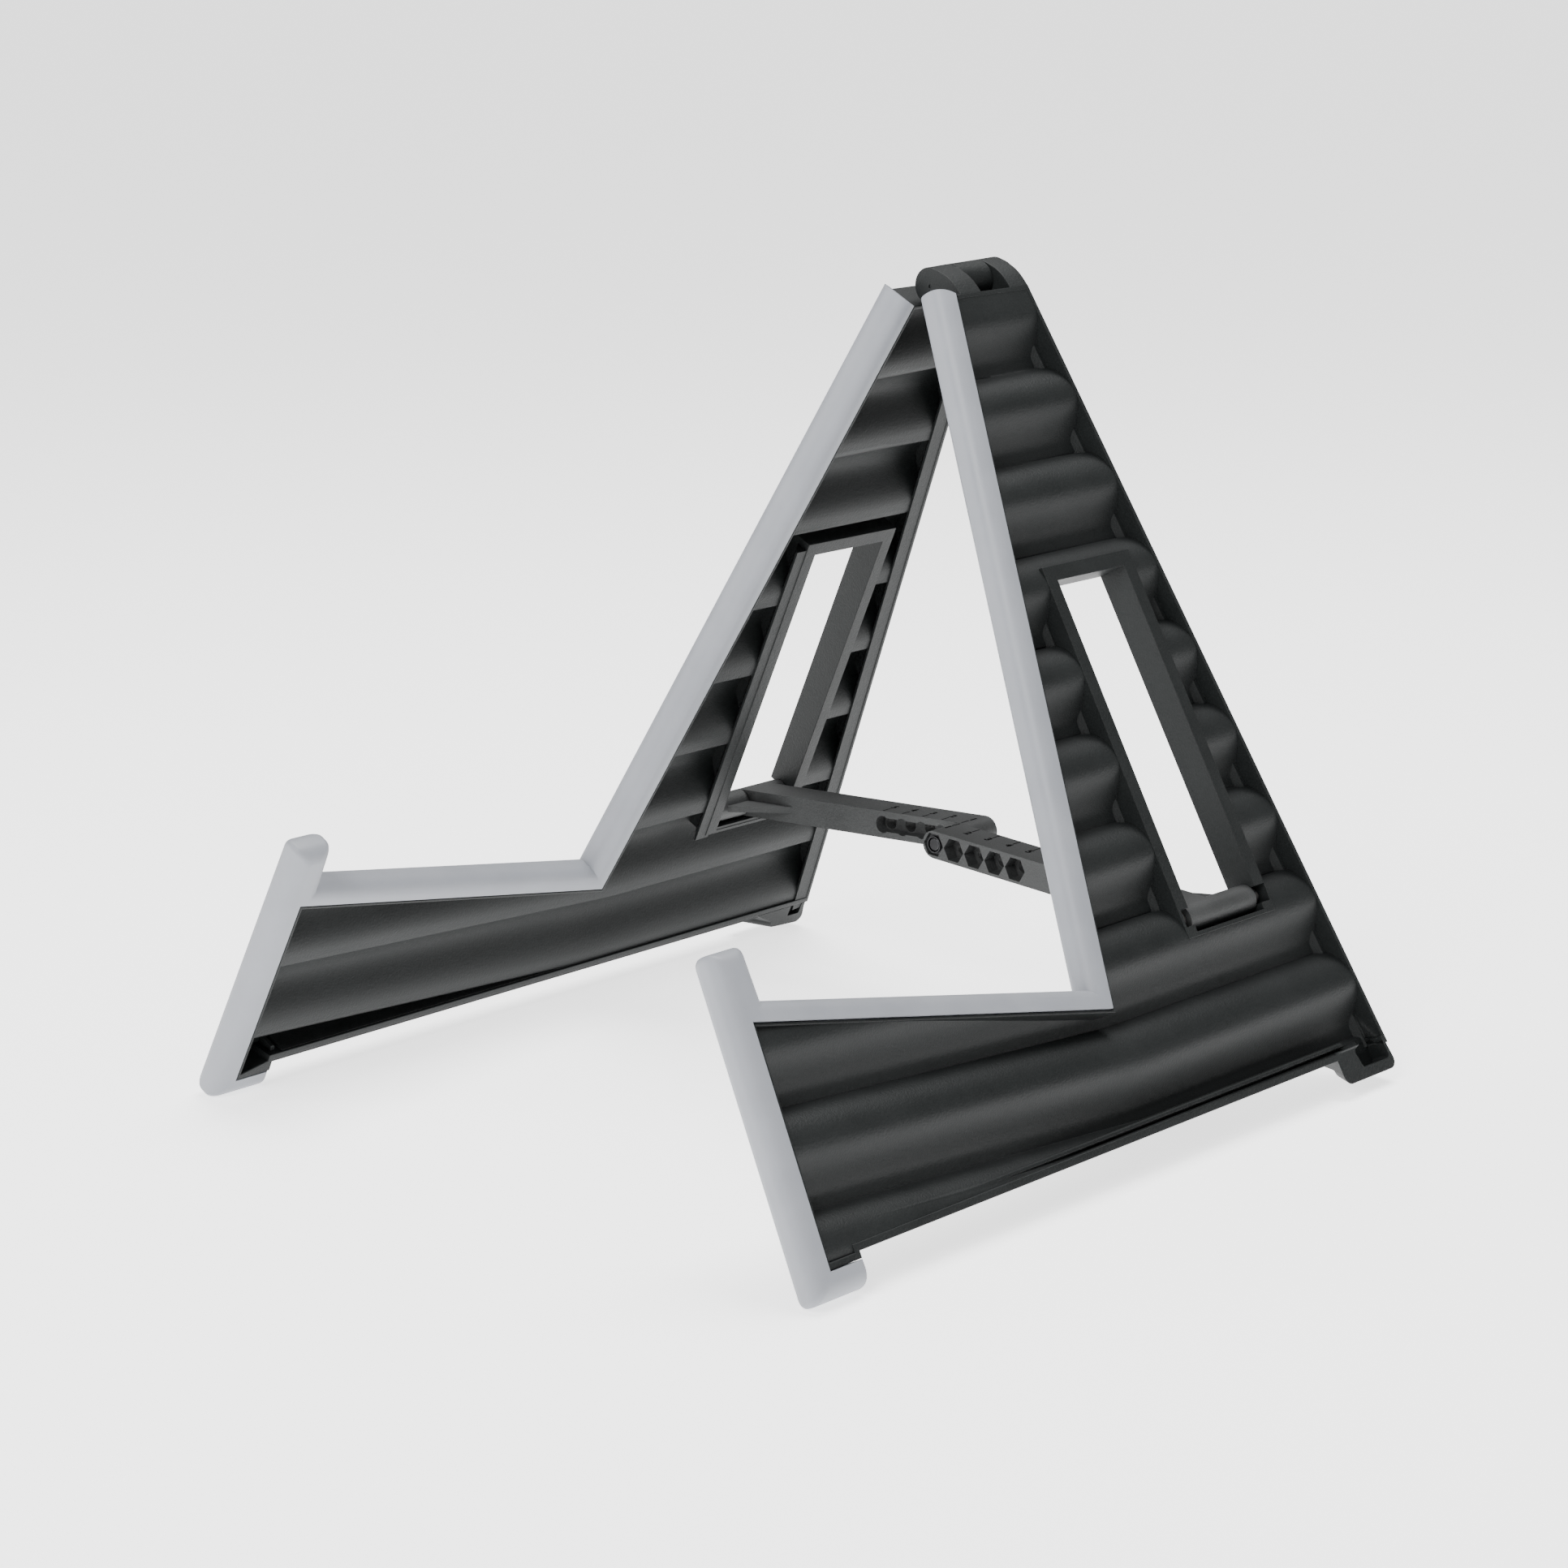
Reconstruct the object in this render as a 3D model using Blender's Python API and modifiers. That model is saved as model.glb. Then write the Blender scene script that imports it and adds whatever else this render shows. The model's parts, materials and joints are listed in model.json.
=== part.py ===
"""Folding A-frame instrument stand with two hinged side panels and a pair of bolted spreader arms.

World axes: X runs from the left panel to the right one, -Y is the front (hooks), +Z is up.
Each panel is drawn in its own frame: u is front to back, v runs down the panel from the
hinge axis, w runs from the inner face to the outer one. A panel object has its origin on
the hinge axis, where u, v, w become its local y, -z and x.
"""

import math

import bmesh
import bpy
from mathutils import Matrix, Vector

MM = 0.001
TOUCH_GAP = 0.3 * MM

# Overall size
HINGE_HEIGHT = 285 * MM
OPEN_HALF_ANGLE = math.radians(27)
SINE, COSINE = math.sin(OPEN_HALF_ANGLE), math.cos(OPEN_HALF_ANGLE)

# Hinge
KNUCKLE_RADIUS = 7.5 * MM
KNUCKLE_ENDS = (-41.5 * MM, -29.3 * MM, -13.5 * MM, -3.6 * MM)
KNUCKLE_CLEARANCE = 1 * MM
HINGE_PIN_RADIUS = 1.3 * MM
PIN_CLEARANCE = 0.25 * MM
HINGE_PIN_RECESS = 1.5 * MM

# Side panels. The lower parts are measured up from the sole of the back foot.
PANEL_INNER = 0.4 * MM
PANEL_OUTER = 12.9 * MM
PANEL_TOP = KNUCKLE_RADIUS + KNUCKLE_CLEARANCE
SOLE = (HINGE_HEIGHT + PANEL_INNER * SINE) / COSINE
FOOT_HEIGHT = 12.1 * MM
BOTTOM_EDGE = SOLE - FOOT_HEIGHT
RIM_WALL = 2.5 * MM
UPRIGHT_TOP = (KNUCKLE_ENDS[0] - 1.9 * MM, PANEL_TOP)
REST_BACK = (-94.4 * MM, SOLE - 53.9 * MM)
REST_FRONT = (-253.4 * MM, SOLE - 87.3 * MM)
FRONT_FOOT = (-257.6 * MM, SOLE - 7.3 * MM)
FRONT_FOOT_LENGTH = 15 * MM
BACK_TOP = (KNUCKLE_ENDS[3], PANEL_TOP)
BACK_BOTTOM = (40.6 * MM, SOLE - 5.1 * MM)
BACK_FOOT_FRONT = 10 * MM

# Waves pressed into the panel web
WAVE_PITCH = 33.4 * MM
WAVE_FIRST_CREST = 19.1 * MM
WEB_THICKNESS = 2.4 * MM
STEPS_PER_WAVE = 8

# Window of each panel, where its spreader arm lies when the stand is folded
WINDOW_TOP = 117.3 * MM
WINDOW_BOTTOM = SOLE - 69.8 * MM
WINDOW_TOP_U = (-44.3 * MM, -7.2 * MM)
WINDOW_BOTTOM_U = (-38.7 * MM, -0.2 * MM)
FRAME_WALL = 5.6 * MM

# Soft edging along the front of each panel
EDGING_INNER = 0.3 * MM
EDGING_OUTER = 13.7 * MM
EDGING_DEPTH = 8 * MM
EDGING_ROUND = 4.4 * MM
HOOK_INSIDE = REST_FRONT[0] + 8.4 * MM
HOOK_TOP = REST_FRONT[1] - 25.8 * MM
INNER_CORNER = 1.5 * MM

# Spreader arms
BARREL_RADIUS = 5.3 * MM
BARREL_CLEARANCE = 0.4 * MM
PIVOT_V = WINDOW_BOTTOM - BARREL_RADIUS - BARREL_CLEARANCE
PIVOT_W = 6.6 * MM
BARREL_ENDS = (WINDOW_BOTTOM_U[0] + 0.4 * MM, WINDOW_BOTTOM_U[1] - 0.6 * MM)
ARM_FACES = (BARREL_ENDS[0] + 0.4 * MM, WINDOW_TOP_U[1] - 0.4 * MM)
ARM_SPLIT = -22.6 * MM
ARM_RISE = math.radians(3.2)
GUSSET_LENGTH = 29 * MM
GUSSET_THICKNESS = 2.4 * MM
ARM_PIN_RADIUS = 2.9 * MM
PIN_END_WALL = 1.2 * MM
ARM_PIN_ENDS = (
    WINDOW_BOTTOM_U[0] - FRAME_WALL + PIN_END_WALL,
    WINDOW_BOTTOM_U[1] + FRAME_WALL - PIN_END_WALL,
)
HOLE_COUNT = 5
HOLE_PITCH = 10 * MM
SLOT_DEPTH = 5 * MM
SLOT_HALF_HEIGHT = 2.7 * MM
SCALLOP_RADIUS = 3.4 * MM

# Bolt and lock nut, M5
BOLT_RADIUS = 2.5 * MM
NUT_ACROSS_FLATS = 8 * MM
NUT_CLEARANCE = 0.3 * MM
POCKET_DEPTH = 5.4 * MM
NUT_HEIGHT = 4 * MM
COLLAR_RADIUS = 3.3 * MM
COLLAR_HEIGHT = 1 * MM
HEAD_HEIGHT = 3.5 * MM

OUTSIDE = 20 * MM  # how far a cutter runs past a face
STEP = 0.15 * MM  # how far ribs, necks and wave crests stay below the panel's two faces


# ---------------------------------------------------------------- scene and materials

for old in list(bpy.data.objects):
    bpy.data.objects.remove(old)

stand = bpy.data.collections.new("folding_instrument_stand")
bpy.context.scene.collection.children.link(stand)


def material(name, colour, roughness, metallic=0.0):
    made = bpy.data.materials.new(name)
    made.use_nodes = True
    shader = made.node_tree.nodes["Principled BSDF"]
    shader.inputs["Base Color"].default_value = (*colour, 1)
    shader.inputs["Roughness"].default_value = roughness
    shader.inputs["Metallic"].default_value = metallic
    return made


BLACK_NYLON = material("black_nylon", (0.025, 0.026, 0.026), 0.5)
ARM_NYLON = material("arm_nylon", (0.03, 0.031, 0.031), 0.55)
GREY_RUBBER = material("grey_rubber", (0.5, 0.51, 0.53), 0.45)
BARE_STEEL = material("bare_steel", (0.55, 0.55, 0.56), 0.3, 1.0)
ZINC_STEEL = material("zinc_steel", (0.6, 0.61, 0.62), 0.28, 1.0)


# ---------------------------------------------------------------- shape helpers

def new_object(name, mesh, kept=False):
    made = bpy.data.objects.new(name, mesh)
    (stand if kept else bpy.context.scene.collection).objects.link(made)
    return made


def evaluated(source, name):
    """A new object with the source's evaluated and welded mesh. The source is removed."""
    bpy.context.view_layer.update()
    graph = bpy.context.evaluated_depsgraph_get()
    mesh = bpy.data.meshes.new_from_object(source.evaluated_get(graph))
    work = bmesh.new()
    work.from_mesh(mesh)
    bmesh.ops.remove_doubles(work, verts=work.verts, dist=0.001 * MM)
    work.to_mesh(mesh)
    work.free()
    mesh.transform(source.matrix_world)
    bpy.data.objects.remove(source)
    return new_object(name, mesh)


def outline_solid(outlines, low, high, turn):
    """A flat shape with optional holes, thick from low to high, turned into place."""
    curve = bpy.data.curves.new("outline", "CURVE")
    curve.dimensions = "2D"
    curve.fill_mode = "BOTH"
    curve.extrude = (high - low) / 2
    for points in outlines:
        spline = curve.splines.new("POLY")
        spline.points.add(len(points) - 1)
        spline.use_cyclic_u = True
        for point, (across, up) in zip(spline.points, points):
            point.co = (across, up, 0, 1)
    flat = new_object("outline", curve)
    flat.matrix_world = turn @ Matrix.Translation((0, 0, (low + high) / 2))
    return evaluated(flat, "outline")


# Turns a drawing of (u, -v) so that its thickness runs along w.
ALONG_W = Matrix(((0, 0, 1, 0), (1, 0, 0, 0), (0, 1, 0, 0), (0, 0, 0, 1)))
# Turns a drawing of (w, -v) so that its thickness runs along -u.
ALONG_U = Matrix.Rotation(math.radians(90), 4, "X")


def panel_slab(outlines, inner, outer):
    drawn = [[(u, -v) for u, v in points] for points in outlines]
    return outline_solid(drawn, inner, outer, ALONG_W)


def rod(radius, start, end, at=(0, 0), segments=24):
    """A round bar along u, from start to end, at the given (w, -v)."""
    mesh = bpy.data.meshes.new("rod")
    work = bmesh.new()
    bmesh.ops.create_cone(
        work, cap_ends=True, segments=segments, radius1=radius, radius2=radius,
        depth=end - start,
    )
    work.to_mesh(mesh)
    work.free()
    mesh.transform(Matrix.Rotation(math.radians(90), 4, "X"))
    mesh.transform(Matrix.Translation((at[0], (start + end) / 2, at[1])))
    return new_object("rod", mesh)


def box(low, high):
    mesh = bpy.data.meshes.new("box")
    work = bmesh.new()
    bmesh.ops.create_cube(work, size=1)
    size = [b - a for a, b in zip(low, high)]
    middle = [(a + b) / 2 for a, b in zip(low, high)]
    bmesh.ops.scale(work, vec=size, verts=work.verts)
    bmesh.ops.translate(work, vec=middle, verts=work.verts)
    work.to_mesh(mesh)
    work.free()
    return new_object("box", mesh)


def combine(base, other, operation):
    """base with other joined to it, cut from it or kept inside it. Both are used up."""
    modifier = base.modifiers.new("combine", "BOOLEAN")
    modifier.operation = operation
    modifier.object = other
    made = evaluated(base, base.name)
    bpy.data.objects.remove(other)
    return made


def offset_line(a, b, distance):
    """The line through a and b moved sideways, to the left of its direction."""
    along = (Vector(b) - Vector(a)).normalized()
    side = Vector((-along.y, along.x)) * distance
    return Vector(a) + side, Vector(b) + side


def crossing(first, second):
    """Where two lines, each given by two points, meet."""
    p, r = first[0], first[1] - first[0]
    q, s = second[0], second[1] - second[0]
    share = ((q - p).x * s.y - (q - p).y * s.x) / (r.x * s.y - r.y * s.x)
    return tuple(p + r * share)


def level_line(v):
    return Vector((0, v)), Vector((1, v))


def inset(points, distance):
    """A closed outline moved inwards by a distance, or outwards by a negative one."""
    area = sum(a[0] * b[1] - b[0] * a[1] for a, b in zip(points, points[1:] + points[:1]))
    sideways = distance if area > 0 else -distance
    sides = [
        offset_line(a, b, sideways) for a, b in zip(points, points[1:] + points[:1])
    ]
    return [crossing(before, after) for before, after in zip(sides[-1:] + sides[:-1], sides)]


def finish(obj, name, paint, location=(0, 0, 0), turn=0.0, mirrored=False):
    """Names the object, gives it its material and puts its origin in place."""
    if mirrored:
        obj.data.transform(Matrix.Scale(-1, 4, (1, 0, 0)))
        obj.data.flip_normals()
    obj.name = name
    obj.data.name = name
    obj.data.materials.append(paint)
    obj.data.shade_smooth()
    obj.data.set_sharp_from_angle(angle=math.radians(35))
    obj.location = Vector(location) - Vector((0, MIDDLE_U, 0))
    obj.rotation_euler = (0, turn, 0)
    bpy.context.scene.collection.objects.unlink(obj)
    stand.objects.link(obj)
    return obj


# ---------------------------------------------------------------- side panels

SOFT_SOLE = EDGING_ROUND + (
    HINGE_HEIGHT - EDGING_ROUND + (EDGING_ROUND + EDGING_INNER) * SINE
) / COSINE

PANEL_OUTLINE = [
    UPRIGHT_TOP,
    REST_BACK,
    REST_FRONT,
    FRONT_FOOT,
    (FRONT_FOOT[0] + FRONT_FOOT_LENGTH, FRONT_FOOT[1]),
    (FRONT_FOOT[0] + FRONT_FOOT_LENGTH, BOTTOM_EDGE),
    (BACK_FOOT_FRONT, BOTTOM_EDGE),
    (BACK_FOOT_FRONT + 3.5 * MM, SOLE),
    (BACK_BOTTOM[0] - 3 * MM, SOLE),
    BACK_BOTTOM,
    BACK_TOP,
]

FRONT_U = crossing(offset_line(REST_FRONT, FRONT_FOOT, EDGING_DEPTH), level_line(SOFT_SOLE))[0]
MIDDLE_U = (FRONT_U + BACK_BOTTOM[0]) / 2  # stands over the world origin

WINDOW = [
    (WINDOW_TOP_U[0], WINDOW_TOP),
    (WINDOW_BOTTOM_U[0], WINDOW_BOTTOM),
    (WINDOW_BOTTOM_U[1], WINDOW_BOTTOM),
    (WINDOW_TOP_U[1], WINDOW_TOP),
]


def rest_line(u):
    """v of the rest's edge at u."""
    share = (u - REST_BACK[0]) / (REST_FRONT[0] - REST_BACK[0])
    return REST_BACK[1] + share * (REST_FRONT[1] - REST_BACK[1])


def wave_web():
    """The waved web. Its waves run level at the back and fan out under the rest."""
    first = PANEL_TOP - 4 * MM
    last = SOLE + 4 * MM
    rows = round((last - first) / WAVE_PITCH * STEPS_PER_WAVE)
    columns = (FRONT_FOOT[0] - 5 * MM, REST_BACK[0], BACK_BOTTOM[0] + 5 * MM)
    middle = (PANEL_INNER + PANEL_OUTER) / 2
    swing = (PANEL_OUTER - PANEL_INNER - WEB_THICKNESS) / 2 - STEP
    spread = (BOTTOM_EDGE - rest_line(columns[0])) / (BOTTOM_EDGE - REST_BACK[1])
    mesh = bpy.data.meshes.new("web")
    work = bmesh.new()
    bmesh.ops.create_grid(work, x_segments=2, y_segments=rows, size=0.5)
    for vert in work.verts:
        column = round((vert.co.x + 0.5) * 2)
        level = first + (last - first) * (vert.co.y + 0.5)
        wave = math.cos(2 * math.pi * (level - WAVE_FIRST_CREST) / WAVE_PITCH)
        v = BOTTOM_EDGE - (BOTTOM_EDGE - level) * (spread if column == 0 else 1)
        vert.co = (middle + swing * wave, columns[column], -v)
    work.to_mesh(mesh)
    work.free()
    web = new_object("web", mesh)
    wall = web.modifiers.new("wall", "SOLIDIFY")
    wall.thickness = WEB_THICKNESS
    wall.offset = 0
    return evaluated(web, "web")


def knuckle(start, end):
    """One hinge knuckle with the neck that joins it to the panel's top."""
    corner = Vector((PANEL_OUTER - STEP, PANEL_TOP + 1 * MM))
    distance = corner.length
    tangent = math.atan2(corner.y, corner.x) - math.acos(KNUCKLE_RADIUS / distance)
    inside = PANEL_INNER + STEP
    meets = math.asin(inside / KNUCKLE_RADIUS)
    sweep = -2 * math.pi + (math.pi / 2 - meets) - tangent
    arc = [tangent + sweep * step / 20 for step in range(21)]
    profile = [(KNUCKLE_RADIUS * math.cos(a), -KNUCKLE_RADIUS * math.sin(a)) for a in arc[:-1]]
    root = PANEL_TOP + RIM_WALL / 2
    profile += [(inside, -root), (corner.x, -root), (corner.x, -corner.y)]
    return outline_solid([profile], -end, -start, ALONG_U)


def panel(name, knuckles, side):
    rim = panel_slab([PANEL_OUTLINE, inset(PANEL_OUTLINE, RIM_WALL)], PANEL_INNER, PANEL_OUTER)
    frame = panel_slab([inset(WINDOW, -FRAME_WALL), WINDOW], PANEL_INNER, PANEL_OUTER)
    keep = panel_slab(
        [inset(PANEL_OUTLINE, RIM_WALL / 2), inset(WINDOW, -FRAME_WALL / 2)],
        PANEL_INNER - OUTSIDE, PANEL_OUTER + OUTSIDE,
    )
    body = combine(wave_web(), keep, "INTERSECT")
    body = combine(body, rim, "UNION")
    body = combine(body, frame, "UNION")
    foot_rib_u = (BACK_FOOT_FRONT + BACK_BOTTOM[0]) / 2
    foot_rib = box(
        (PANEL_INNER + STEP, foot_rib_u, -SOLE + RIM_WALL / 2),
        (PANEL_OUTER - STEP, foot_rib_u + RIM_WALL, -BOTTOM_EDGE - RIM_WALL / 2),
    )
    body = combine(body, foot_rib, "UNION")
    for start, end in knuckles:
        body = combine(body, knuckle(start, end), "UNION")
        bore = rod(HINGE_PIN_RADIUS + PIN_CLEARANCE, start - OUTSIDE / 10, end + OUTSIDE / 10)
        body = combine(body, bore, "DIFFERENCE")
    slot_half = ARM_PIN_RADIUS + TOUCH_GAP
    pin_slot = box(
        (PIVOT_W - slot_half, ARM_PIN_ENDS[0] - TOUCH_GAP, -PIVOT_V - slot_half),
        (PANEL_OUTER + OUTSIDE, ARM_PIN_ENDS[1] + TOUCH_GAP, -PIVOT_V + slot_half),
    )
    body = combine(body, pin_slot, "DIFFERENCE")
    return finish(
        body, name, BLACK_NYLON, (0, 0, HINGE_HEIGHT), -side * OPEN_HALF_ANGLE, side < 0
    )


# ---------------------------------------------------------------- soft edging

def edging(name, side):
    """The grey strip along the upright, the rest, the hook and the front foot."""
    edge = [UPRIGHT_TOP, REST_BACK, REST_FRONT, FRONT_FOOT]
    inner_lines = [offset_line(a, b, TOUCH_GAP) for a, b in zip(edge, edge[1:])]
    outer_lines = [offset_line(a, b, EDGING_DEPTH) for a, b in zip(edge, edge[1:])]
    heel_u = FRONT_FOOT[0] + FRONT_FOOT_LENGTH
    foot_inner = FRONT_FOOT[1] + TOUCH_GAP
    along = [(b - a).normalized() for a, b in outer_lines]
    corner = Vector(crossing(outer_lines[0], outer_lines[1]))
    corners = (corner + along[1] * INNER_CORNER, corner - along[0] * INNER_CORNER)
    top = (Vector(UPRIGHT_TOP), Vector(UPRIGHT_TOP) + Vector((-7.7, -3.9)) * MM)
    inner = [
        crossing(top, inner_lines[0]),
        crossing(inner_lines[0], inner_lines[1]),
        crossing(inner_lines[1], inner_lines[2]),
        crossing(inner_lines[2], level_line(foot_inner)),
        (heel_u, foot_inner),
    ]
    outer = [
        (heel_u, SOFT_SOLE),
        crossing(outer_lines[2], level_line(SOFT_SOLE)),
        crossing(outer_lines[2], level_line(HOOK_TOP)),
        (HOOK_INSIDE, HOOK_TOP),
        crossing((Vector((HOOK_INSIDE, 0)), Vector((HOOK_INSIDE, 1))), outer_lines[1]),
        *map(tuple, corners),
        crossing(top, outer_lines[0]),
    ]
    strip = panel_slab([inner + outer], EDGING_INNER, EDGING_OUTER)
    work = bmesh.new()
    work.from_mesh(strip.data)
    bmesh.ops.dissolve_limit(
        work, angle_limit=math.radians(1), verts=work.verts, edges=work.edges
    )
    rounded = [
        edge
        for edge in work.edges
        if all(is_at(vert, outer) for vert in edge.verts) and edge.is_manifold
        and abs(edge.verts[0].co.x - edge.verts[1].co.x) < 0.1 * MM
        and edge.calc_face_angle() > 1
    ]
    bmesh.ops.bevel(
        work, geom=rounded, offset=EDGING_ROUND, offset_type="OFFSET", segments=3, profile=0.5,
        affect="EDGES", clamp_overlap=False,
    )
    bmesh.ops.remove_doubles(work, verts=work.verts, dist=0.02 * MM)
    bmesh.ops.recalc_face_normals(work, faces=work.faces)
    work.to_mesh(strip.data)
    work.free()
    return finish(
        strip, name, GREY_RUBBER, (0, 0, HINGE_HEIGHT), -side * OPEN_HALF_ANGLE, side < 0
    )


def is_at(vert, points):
    return any(math.hypot(vert.co.y - u, -vert.co.z - v) < 0.05 * MM for u, v in points)


# ---------------------------------------------------------------- spreader arms

def panel_point(side, v, w):
    """(x, z) in the world of a point in a panel."""
    return side * (v * SINE + w * COSINE), HINGE_HEIGHT - v * COSINE + w * SINE


PIVOT_X, PIVOT_Z = panel_point(1, PIVOT_V, PIVOT_W)
ARM_LENGTH = PIVOT_X / math.cos(ARM_RISE)
BOLT_Z = PIVOT_Z + ARM_LENGTH * math.sin(ARM_RISE)


def hexagon(across_flats, start, end, at):
    """A six-sided bar along u with its corners pointing along the arm."""
    made = rod(across_flats / math.sqrt(3), start, end, segments=6)
    made.data.transform(Matrix.Rotation(math.radians(30), 4, "Y"))
    made.data.transform(Matrix.Translation((at, 0, 0)))
    return made


def spreader_arm(name, side):
    """An arm drawn from its pivot along +x. side is +1 for the right arm, the front one."""
    outer_face, split = (ARM_FACES[0], ARM_SPLIT) if side > 0 else (ARM_FACES[1], ARM_SPLIT)
    into_arm = 1 if side > 0 else -1
    inner_face = split - into_arm * TOUCH_GAP / 2
    low, high = sorted((outer_face, inner_face))
    top = [(0, BARREL_RADIUS), (0, -BARREL_RADIUS)]
    arc = [-math.pi / 2 + math.pi * step / 12 for step in range(13)]
    tip = [
        (ARM_LENGTH + BARREL_RADIUS * math.cos(a), BARREL_RADIUS * math.sin(a)) for a in arc
    ]
    arm = outline_solid([top + tip], -high, -low, ALONG_U)
    arm = combine(arm, rod(BARREL_RADIUS, *BARREL_ENDS, segments=32), "UNION")
    far_end = BARREL_ENDS[1] if side > 0 else BARREL_ENDS[0]
    far_end -= math.copysign(1 * MM, far_end - inner_face)
    gusset = [
        (0, far_end),
        (0, inner_face - into_arm * MM),
        (GUSSET_LENGTH, inner_face - into_arm * MM),
        (GUSSET_LENGTH, inner_face),
    ]
    half = GUSSET_THICKNESS / 2
    arm = combine(arm, outline_solid([gusset], -half, half, Matrix.Identity(4)), "UNION")
    for number in range(HOLE_COUNT):
        along = ARM_LENGTH - number * HOLE_PITCH
        hole = rod(BOLT_RADIUS + PIN_CLEARANCE, low - MM, high + MM, (along, 0), 16)
        arm = combine(arm, hole, "DIFFERENCE")
        depths = sorted((outer_face - into_arm * MM, outer_face + into_arm * POCKET_DEPTH))
        pocket = hexagon(NUT_ACROSS_FLATS + NUT_CLEARANCE, *depths, along)
        arm = combine(arm, pocket, "DIFFERENCE")
        scallop = sorted((inner_face + into_arm * MM, inner_face - into_arm * SLOT_DEPTH))
        arm = combine(arm, rod(SCALLOP_RADIUS, *scallop, (along, 0), 16), "DIFFERENCE")
    last_hole = ARM_LENGTH - (HOLE_COUNT - 1) * HOLE_PITCH
    slot = box(
        (last_hole, scallop[0], -SLOT_HALF_HEIGHT), (ARM_LENGTH, scallop[1], SLOT_HALF_HEIGHT)
    )
    arm = combine(arm, slot, "DIFFERENCE")
    bore = rod(ARM_PIN_RADIUS + TOUCH_GAP / 2, BARREL_ENDS[0] - MM, BARREL_ENDS[1] + MM)
    arm = combine(arm, bore, "DIFFERENCE")
    return finish(
        arm, name, ARM_NYLON, (side * PIVOT_X, 0, PIVOT_Z),
        ARM_RISE if side > 0 else -ARM_RISE, side > 0,
    )


def pivot_pin(name, side):
    pin = rod(ARM_PIN_RADIUS, *ARM_PIN_ENDS)
    return finish(pin, name, BARE_STEEL, (side * PIVOT_X, 0, PIVOT_Z), 0)


# ---------------------------------------------------------------- bolt and nut

def pivot_bolt():
    """The bolt with its head in the left arm. Its shank ends where the two arms meet."""
    seat = ARM_FACES[1] - POCKET_DEPTH + TOUCH_GAP
    head = hexagon(NUT_ACROSS_FLATS, seat, seat + HEAD_HEIGHT, 0)
    shank = rod(BOLT_RADIUS, ARM_SPLIT + TOUCH_GAP / 2, seat + MM)
    bolt = combine(head, shank, "UNION")
    return finish(bolt, "pivot_bolt", ZINC_STEEL, (0, 0, BOLT_Z), -ARM_RISE)


def lock_nut():
    """The nut in the right arm's first pocket, with the round collar of its locking ring."""
    seat = ARM_FACES[0] + POCKET_DEPTH - TOUCH_GAP
    nut = hexagon(NUT_ACROSS_FLATS, seat - NUT_HEIGHT, seat, 0)
    collar = rod(COLLAR_RADIUS, seat - NUT_HEIGHT - COLLAR_HEIGHT, seat - MM)
    nut = combine(nut, collar, "UNION")
    hole = rod(BOLT_RADIUS + PIN_CLEARANCE, seat - NUT_HEIGHT - 2 * MM, seat + MM)
    nut = combine(nut, hole, "DIFFERENCE")
    return finish(nut, "lock_nut", ZINC_STEEL, (0, 0, BOLT_Z), ARM_RISE)


def bolt_end():
    """The threaded end of the bolt, which stays in the right arm."""
    tip = ARM_FACES[0] + POCKET_DEPTH - TOUCH_GAP - NUT_HEIGHT - COLLAR_HEIGHT
    thread = rod(BOLT_RADIUS, tip + 0.2 * MM, ARM_SPLIT - TOUCH_GAP / 2)
    return finish(thread, "pivot_bolt_threaded_end", ZINC_STEEL, (0, 0, BOLT_Z), ARM_RISE)


def hinge_pin():
    front, back = KNUCKLE_ENDS[0] + HINGE_PIN_RECESS, KNUCKLE_ENDS[3] - HINGE_PIN_RECESS
    pin = rod(HINGE_PIN_RADIUS, front, back)
    return finish(pin, "hinge_pin", BARE_STEEL, (0, 0, HINGE_HEIGHT))


# ---------------------------------------------------------------- the stand

front_end, front_split, back_split, back_end = KNUCKLE_ENDS
half_gap = TOUCH_GAP / 2
panel("right_panel", [(front_end, front_split - half_gap), (back_split + half_gap, back_end)], 1)
panel("left_panel", [(front_split + half_gap, back_split - half_gap)], -1)
for side, label in ((1, "right"), (-1, "left")):
    edging(label + "_edging", side)
    spreader_arm(label + "_arm", side)
    pivot_pin(label + "_arm_pivot_pin", side)
pivot_bolt()
lock_nut()
bolt_end()
hinge_pin()
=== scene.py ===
"""Looks of the folding instrument stand: moulded panels, soft edging, spreader arms, hardware.

World: metres, +Z up, -Y the front. A panel is drawn in its own frame, u front to back, v down
from the hinge axis and w from the inner face outwards, then swung open about the hinge.
"""

import json
import math

import bpy
from mathutils import Matrix, Vector


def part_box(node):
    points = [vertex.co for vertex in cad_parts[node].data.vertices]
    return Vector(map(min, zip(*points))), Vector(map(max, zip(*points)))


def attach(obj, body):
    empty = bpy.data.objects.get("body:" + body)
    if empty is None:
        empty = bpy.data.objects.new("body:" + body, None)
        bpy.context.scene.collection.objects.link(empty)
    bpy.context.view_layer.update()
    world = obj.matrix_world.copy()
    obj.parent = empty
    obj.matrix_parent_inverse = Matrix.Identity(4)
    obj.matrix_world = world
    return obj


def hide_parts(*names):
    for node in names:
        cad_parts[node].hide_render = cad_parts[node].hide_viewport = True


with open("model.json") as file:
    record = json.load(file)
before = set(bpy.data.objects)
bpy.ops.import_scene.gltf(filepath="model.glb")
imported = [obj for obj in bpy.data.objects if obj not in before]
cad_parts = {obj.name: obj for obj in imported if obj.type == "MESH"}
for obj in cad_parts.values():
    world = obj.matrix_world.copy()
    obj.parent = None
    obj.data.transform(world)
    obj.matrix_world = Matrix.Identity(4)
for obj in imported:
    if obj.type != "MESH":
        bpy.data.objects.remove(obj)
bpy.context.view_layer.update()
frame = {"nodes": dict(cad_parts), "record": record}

MM = 0.001
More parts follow.
